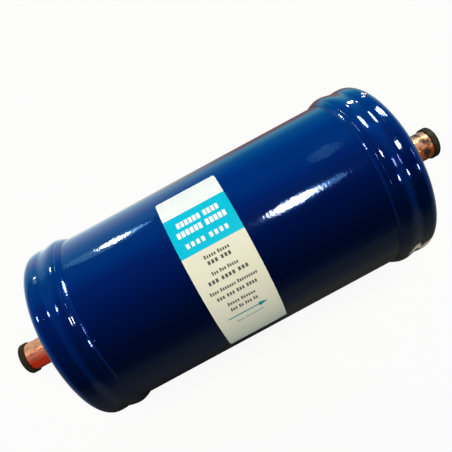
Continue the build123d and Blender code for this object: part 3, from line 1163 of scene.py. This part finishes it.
@dataclass
class Studio:
    """White floor with a curved rim, a room that is lighter on one side, lamps and camera.

    The camera looks square to the axis, turned about it by tilt_deg from +Z, and its size and shifts
    are in pixels of the frame. The floor and the room look white to the camera. In mirrored rays they
    show graded colours: the room by the turn about the axis in degrees, the floor by Y in metres,
    each for the inlet side and the outlet side, with a plainer grade beyond the two ends.
    """

    tilt_deg: float = 7.0
    foot_at: float = -4.4 * MM
    distance: float = 0.230
    focal_px: float = 440.0
    frame_px: float = 452.0
    sensor_mm: float = 36.0
    turn_cos: float = 0.880
    turn_sin: float = 0.4749
    principal_right_px: float = -4.4
    principal_down_px: float = 28.4
    clip_start: float = 0.01
    floor_gap: float = 0.3 * MM
    floor_rings: tuple[float, ...] = (0.0, 0.3, 0.8, 1.5, 2.0)
    floor_radius: float = 2.6
    floor_steps: int = 96
    rim_height: float = 0.75
    rim_steps: int = 8
    floor_mottle: float = 0.25
    floor_light: Colour = (0.88, 0.88, 0.88)
    floor_dark: Colour = (0.84, 0.84, 0.84)
    floor_glow: Range = (0.9, 1.0)
    glow_reach: Range = (0.5, 1.8)
    floor_grade_end: float = 2.0
    room_grade_end: float = 180.0
    end_room: Colour = (0.04, 0.24, 0.4)
    end_reach: float = 0.15
    floor_ends: Range = (0.45, 1.2)
    room_ends: Range = (0.55, 0.95)
    end_lift: float = 1.5
    end_lift_from: float = 0.35
    room_sides: Range = (-0.2, 0.25)
    floor_sides: Range = (-0.07, 0.05)
    inlet_room: tuple[Stop, ...] = (
        (-90.0, (0.14, 0.12, 0.06)),
        (-74.0, (0.1, 0.09, 0.06)),
        (-55.0, (0.01, 0.038, 0.048)),
        (-22.0, (0.0, 0.07, 0.12)),
        (7.0, (0.01, 0.12, 0.25)),
        (37.0, (0.03, 0.22, 0.43)),
        (52.0, (0.03, 0.31, 0.53)),
        (69.0, (0.03, 0.52, 0.75)),
        (90.0, (0.05, 0.6, 0.76)),
    )
    outlet_room: tuple[Stop, ...] = (
        (-90.0, (0.16, 0.13, 0.06)),
        (-74.0, (0.08, 0.09, 0.06)),
        (-55.0, (0.0, 0.04, 0.05)),
        (-22.0, (0.0, 0.07, 0.12)),
        (7.0, (0.0, 0.12, 0.25)),
        (37.0, (0.05, 0.27, 0.45)),
        (52.0, (0.02, 0.38, 0.63)),
        (69.0, (0.02, 0.54, 0.77)),
        (90.0, (0.0, 0.54, 0.8)),
    )
    inlet_floor: tuple[Stop, ...] = (
        (-0.6, (0.14, 0.12, 0.06)),
        (-0.17, (0.09, 0.07, 0.045)),
        (-0.1, (0.03, 0.022, 0.018)),
        (0.0, (0.05, 0.05, 0.05)),
        (0.06, (1.1, 1.15, 0.9)),
        (0.088, (1.85, 1.6, 0.95)),
        (0.11, (1.5, 1.7, 1.1)),
        (0.138, (0.95, 1.8, 1.15)),
        (0.196, (0.45, 1.6, 1.1)),
        (0.4, (0.25, 1.05, 0.95)),
        (0.8, (0.08, 0.7, 0.8)),
        (1.9, (0.04, 0.58, 0.76)),
    )
    ends_floor: tuple[Stop, ...] = (
        (-0.6, (0.2, 0.19, 0.18)),
        (-0.1, (0.36, 0.34, 0.31)),
        (0.0, (0.34, 0.38, 0.4)),
        (0.1, (0.5, 0.75, 0.88)),
        (0.5, (0.15, 0.5, 0.7)),
        (1.9, (0.05, 0.4, 0.62)),
    )
    outlet_floor: tuple[Stop, ...] = (
        (-0.6, (0.16, 0.13, 0.06)),
        (-0.17, (0.16, 0.11, 0.055)),
        (-0.1, (0.06, 0.04, 0.03)),
        (0.0, (0.05, 0.05, 0.05)),
        (0.06, (0.3, 0.15, 0.15)),
        (0.075, (0.37, 0.22, 0.22)),
        (0.088, (0.5, 0.6, 0.62)),
        (0.1, (0.35, 0.8, 0.8)),
        (0.138, (0.08, 0.64, 0.82)),
        (0.196, (0.03, 0.6, 0.88)),
        (0.4, (0.0, 0.57, 0.88)),
        (0.8, (0.0, 0.54, 0.83)),
        (1.9, (0.0, 0.54, 0.8)),
    )

    def camera(self) -> None:
        """Set the camera square to the axis, rolled so that the outlet points up to the right."""
        tilt = math.radians(self.tilt_deg)
        outward = Vector((0.0, math.sin(tilt), math.cos(tilt)))
        axis = Vector((1.0, 0.0, 0.0))
        upper = outward.cross(axis)
        right = axis * self.turn_cos - upper * self.turn_sin
        up = axis * self.turn_sin + upper * self.turn_cos
        data = bpy.data.cameras.new("camera")
        data.sensor_width = self.sensor_mm
        data.lens = self.focal_px / self.frame_px * self.sensor_mm
        data.shift_x = -self.principal_right_px / self.frame_px
        data.shift_y = self.principal_down_px / self.frame_px
        data.clip_start = self.clip_start
        eye = bpy.data.objects.new("camera", data)
        turn = Matrix((right, up, outward)).transposed().to_4x4()
        eye.matrix_world = Matrix.Translation(axis * self.foot_at + outward * self.distance) @ turn
        bpy.context.scene.collection.objects.link(eye)
        bpy.context.scene.camera = eye

    def floor(self) -> None:
        """Make the floor just under the drier, with a rim that curves up far away."""
        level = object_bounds()[0][2] - self.floor_gap
        flat = self.floor_rings[-1]
        profile = [(radius, level) for radius in self.floor_rings]
        for step in range(1, self.rim_steps + 1):
            angle = math.pi / 2 * step / self.rim_steps
            radius = flat + (self.floor_radius - flat) * math.sin(angle)
            profile.append((radius, level + self.rim_height * (1 - math.cos(angle))))
        steps = self.floor_steps
        verts = [Vector((0.0, 0.0, level))]
        for radius, height in profile[1:]:
            for step in range(steps):
                angle = math.tau * step / steps
                verts.append(Vector((radius * math.cos(angle), radius * math.sin(angle), height)))
        faces = disc_faces(len(profile) - 1, steps)
        new_piece("studio_floor", verts, faces, self.floor_finish())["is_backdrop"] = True

    def mirrored_floor(self, bench: ShaderBench) -> Port:
        """Colour with which the floor glows in mirrored rays: a painted reflection of a room.

        Args:
            bench: the floor's material to wire into.

        Returns:
            The colour.
        """
        place = bench.split()
        inlet, outlet, ends = (
            bench.grade(place["Y"], self.floor_grade_end, stops)
            for stops in (self.inlet_floor, self.outlet_floor, self.ends_floor)
        )
        side = bench.weave(place["X"], self.floor_sides, inlet, outlet)
        along = bench.combine("ABSOLUTE", place["X"])
        reach = bench.combine("ADD", bench.combine("ABSOLUTE", place["Y"]), self.end_reach)
        return bench.weave(bench.combine("DIVIDE", along, reach), self.floor_ends, side, ends)

    def floor_finish(self) -> bpy.types.Material:
        """Pale matt floor that keeps the shadow, with most of its brightness as plain backdrop.

        Returns:
            The material.
        """
        bench = ShaderBench("floor_pale")
        mottle = bench.noise(self.floor_mottle)
        bench.feed(bench.mix(mottle, self.floor_dark, self.floor_light), Socket.COLOUR)
        bench.feed(0.95, Socket.ROUGHNESS)
        rays = bench.add("ShaderNodeLightPath").outputs
        direct = bench.combine("MAXIMUM", rays["Is Camera Ray"], rays["Is Transmission Ray"])
        glow = bench.add("ShaderNodeEmission")
        bench.link(bench.mix(direct, self.mirrored_floor(bench), WHITE), glow.inputs["Color"])
        away = bench.add("ShaderNodeVectorMath", operation="LENGTH")
        bench.link(bench.place(), away.inputs[0])
        glowing = bench.span(away.outputs["Value"], self.glow_reach, self.floor_glow)
        # in mirrored rays the floor is all glow: a painted reflection of a room
        share = bench.combine("MAXIMUM", bench.combine("MULTIPLY", direct, glowing), rays["Is Glossy Ray"])
        shaders = (bench.shader.outputs["BSDF"], glow.outputs["Emission"])
        bench.show(share, shaders, "Material Output")
        return bench.material

    def room(self) -> None:
        """Room light: graded by the turn about the drier's axis, dim below and bright on the window side."""
        world = bpy.data.worlds.new("room")
        bpy.context.scene.world = world
        world.use_nodes = True
        bench = NodeBench(world.node_tree)
        light = bench.tree.nodes["Background"]
        split = bench.add("ShaderNodeSeparateXYZ")
        bench.link(bench.add("ShaderNodeTexCoord").outputs["Generated"], split.inputs["Vector"])
        along = split.outputs["X"]
        size = bench.combine("ABSOLUTE", along)
        turn = bench.combine("DEGREES", bench.combine("ARCTAN2", split.outputs["Y"], split.outputs["Z"]))
        inlet, outlet = (
            bench.grade(turn, self.room_grade_end, stops) for stops in (self.inlet_room, self.outlet_room)
        )
        sides = bench.weave(along, self.room_sides, inlet, outlet)
        bench.link(bench.weave(size, self.room_ends, sides, self.end_room), light.inputs["Color"])
        lift = bench.span(size, (self.end_lift_from, 1.0), (1.0, self.end_lift), "SMOOTHSTEP")
        bench.link(lift, light.inputs["Strength"])
        backdrop = bench.add("ShaderNodeBackground")
        bench.put(WHITE, backdrop.inputs["Color"])
        rays = bench.add("ShaderNodeLightPath")
        shaders = (light.outputs["Background"], backdrop.outputs["Background"])
        bench.show(rays.outputs["Is Camera Ray"], shaders, "World Output")

    def build(self) -> None:
        """Set up everything that isn't part of the object."""
        bpy.context.scene.view_settings.view_transform = "Standard"
        self.room()
        for panel in PANELS:
            panel.build()
        self.camera()
        self.floor()


def main() -> None:
    """Build every class in order and report each."""
    logging.basicConfig(level=logging.INFO, format="%(name)s: %(message)s")
    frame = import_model()
    nodes = frame["nodes"]
    Studio().build()
    LOG.info("studio: floor, room, lamps and camera")
    PaintedCan(nodes).build()
    LOG.info("painted can: shell, caps and weld seams")
    RatingLabel().build(nodes["label"])
    LOG.info("rating label: film and print")
    for end, copper in ((End.INLET, CLEAN_COPPER), (End.OUTLET, SMOKED_COPPER)):
        SocketEnd(end, nodes, copper).build()
        LOG.info("%s socket: fitting, braze and dust cap", end.name.lower())
    InnerStack(nodes).build()
    LOG.info("inner stack: spring, plates, pads, screen and core")


if __name__ == "__main__":
    main()
